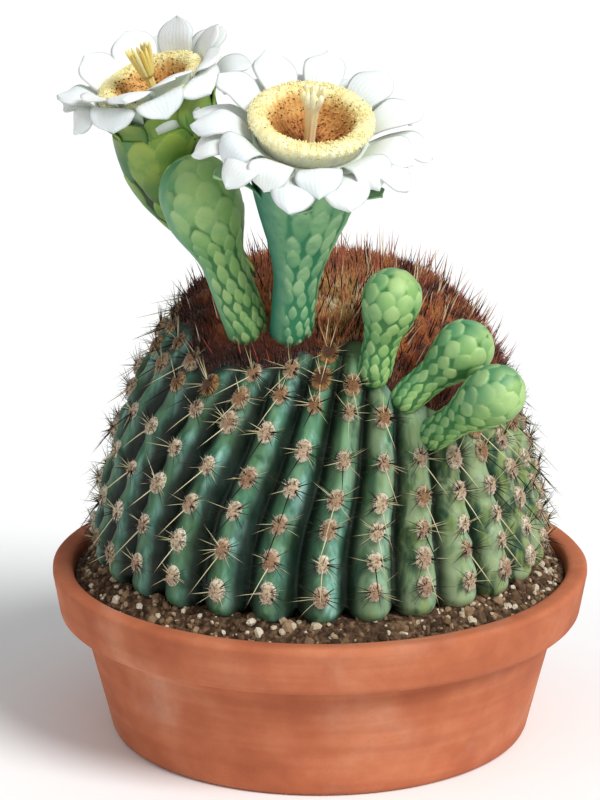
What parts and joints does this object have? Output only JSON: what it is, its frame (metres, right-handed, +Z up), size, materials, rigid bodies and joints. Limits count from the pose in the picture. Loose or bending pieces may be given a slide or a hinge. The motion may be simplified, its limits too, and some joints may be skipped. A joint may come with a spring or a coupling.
{
  "type": "potted saguaro cactus",
  "caption": "Ribbed saguaro cactus head with a woolly crown, scaly buds and open white flowers, standing in soil in a plain terracotta pot.",
  "frame": {"origin": "centre of the pot's flat foot, on the surface that it stands on", "axes": "+Z up through the plant, +X to the viewer's right and +Y away from the viewer of the picture"},
  "size_m": [0.252, 0.275, 0.3353],
  "materials": {
    "terracotta": "matte",
    "soil": "matte",
    "rind": "satin",
    "wool": "matte",
    "bud_green": "satin",
    "tube_green": "satin",
    "petal_white": "matte",
    "stamen_yellow": "matte",
    "style_cream": "matte"
  },
  "bodies": {
    "root": {"pot": "terracotta", "soil": "soil", "stem": "rind", "crown": "wool", "bud_large": "bud_green", "bud_upright": "bud_green", "bud_right": "bud_green", "bud_low": "bud_green", "flower_front_tube": "tube_green", "flower_front_petals": "petal_white", "flower_front_stamens": "stamen_yellow", "flower_front_style": "style_cream", "flower_left_tube": "tube_green", "flower_left_petals": "petal_white", "flower_left_stamens": "stamen_yellow", "flower_left_style": "style_cream"}
  },
  "joints": []
}
